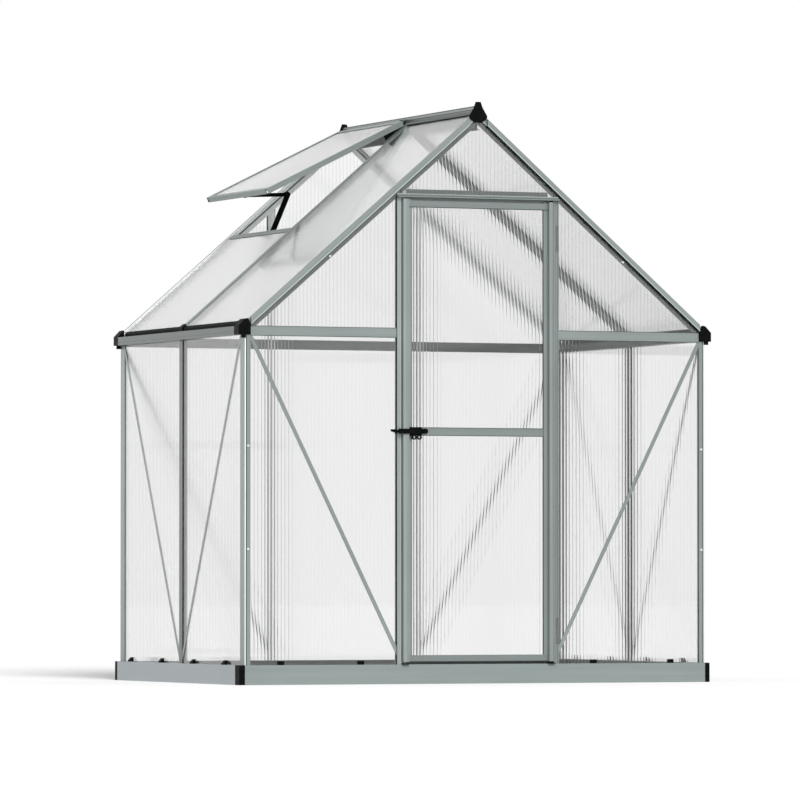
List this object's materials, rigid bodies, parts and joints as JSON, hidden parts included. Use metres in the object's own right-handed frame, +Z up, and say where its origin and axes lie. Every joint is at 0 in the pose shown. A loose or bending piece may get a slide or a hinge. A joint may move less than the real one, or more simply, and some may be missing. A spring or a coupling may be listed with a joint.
{
  "type": "greenhouse",
  "caption": "Small gabled greenhouse with an aluminium frame, twin-wall clear sheets, hinged front door with latch, gutters and an opening roof vent on a folding stay.",
  "frame": {"origin": "on the ground, in the middle of the base and of its four anchor holes", "axes": "+Z up, the door's gable faces -Y, the opening vent is on the -X slope"},
  "size_m": [1.85, 1.2835, 2.086],
  "materials": {
    "aluminium": "satin mill",
    "base_steel": "satin zinc coat",
    "black_plastic": "fine grain moulded",
    "seal_rubber": "matte",
    "twin_wall": "clear ribbed",
    "stainless": "satin"
  },
  "bodies": {
    "frame": {"base_corners": "black_plastic", "base_rail_front": "base_steel", "base_rail_left": "base_steel", "base_rail_rear": "base_steel", "base_rail_right": "base_steel", "braces_front": "aluminium", "braces_left": "aluminium", "braces_rear": "aluminium", "braces_right": "aluminium", "corner_post_front_left": "aluminium", "corner_post_front_right": "aluminium", "corner_post_rear_left": "aluminium", "corner_post_rear_right": "aluminium", "door_header": "aluminium", "door_jamb_left": "aluminium", "door_jamb_right": "aluminium", "door_pivots": "black_plastic", "eave_beam_rear": "aluminium", "eave_beams_front": "aluminium", "eave_seals": "seal_rubber", "frame_bolts": "stainless", "front_panel_left": "twin_wall", "front_panel_right": "twin_wall", "gable_panel_front": "twin_wall", "gable_rafters_front": "aluminium", "gable_rafters_rear": "aluminium", "gutter_end_caps": "black_plastic", "gutter_left": "aluminium", "gutter_right": "aluminium", "latch_keeper": "black_plastic", "panel_clips": "black_plastic", "rafter_foot_clips": "black_plastic", "rear_panels": "twin_wall", "rear_posts": "aluminium", "ridge_beam": "aluminium", "ridge_end_caps": "black_plastic", "roof_bar_left": "aluminium", "roof_bar_right": "aluminium", "roof_panel_left_front": "twin_wall", "roof_panel_left_rear": "twin_wall", "roof_panels_right": "twin_wall", "side_panels_left": "twin_wall", "side_panels_right": "twin_wall", "side_post_left": "aluminium", "side_post_right": "aluminium", "stay_sill_bracket": "black_plastic", "vent_hinge_clips": "black_plastic", "vent_sill": "aluminium"},
    "door": {"door_stile_latch": "aluminium", "door_stile_hinge": "aluminium", "door_rails": "aluminium", "door_panels": "twin_wall", "latch_plate": "black_plastic"},
    "latch_lever": {"latch_lever": "black_plastic"},
    "vent": {"vent_frame": "aluminium", "vent_panel": "twin_wall", "vent_brackets": "black_plastic"},
    "stay_lower": {"stay_lower_arm": "black_plastic", "stay_knob": "black_plastic"},
    "stay_upper": {"stay_upper_arm": "black_plastic"}
  },
  "joints": [
    {"name": "door_swing", "type": "hinge", "parent": "frame", "child": "door", "pos_m": [0.2855, -0.627, 0.9], "axis": [0, 0, 1], "range_deg": [0, 105]},
    {"name": "latch_turn", "type": "hinge", "parent": "door", "child": "latch_lever", "pos_m": [-0.24, -0.6415, 0.901], "axis": [0, 1, 0], "range_deg": [0, 22]},
    {"name": "vent_tilt", "type": "hinge", "parent": "frame", "child": "vent", "pos_m": [-0.01716, 0, 2.05588], "axis": [0, 1, 0], "range_deg": [-14.5, 2]},
    {"name": "stay_swing", "type": "hinge", "parent": "frame", "child": "stay_lower", "pos_m": [-0.43172, 0.303, 1.63124], "axis": [0, 1, 0], "range_deg": [-4, 26]},
    {"name": "stay_elbow", "type": "hinge", "parent": "stay_lower", "child": "stay_upper", "pos_m": [-0.36058, 0.306, 1.7955], "axis": [0, 1, 0], "range_deg": [-60, 10]}
  ],
  "couplings": [
    {"joint": "stay_swing", "follows": "vent_tilt", "ratio": -1.5368},
    {"joint": "stay_elbow", "follows": "vent_tilt", "ratio": 3.6051}
  ]
}
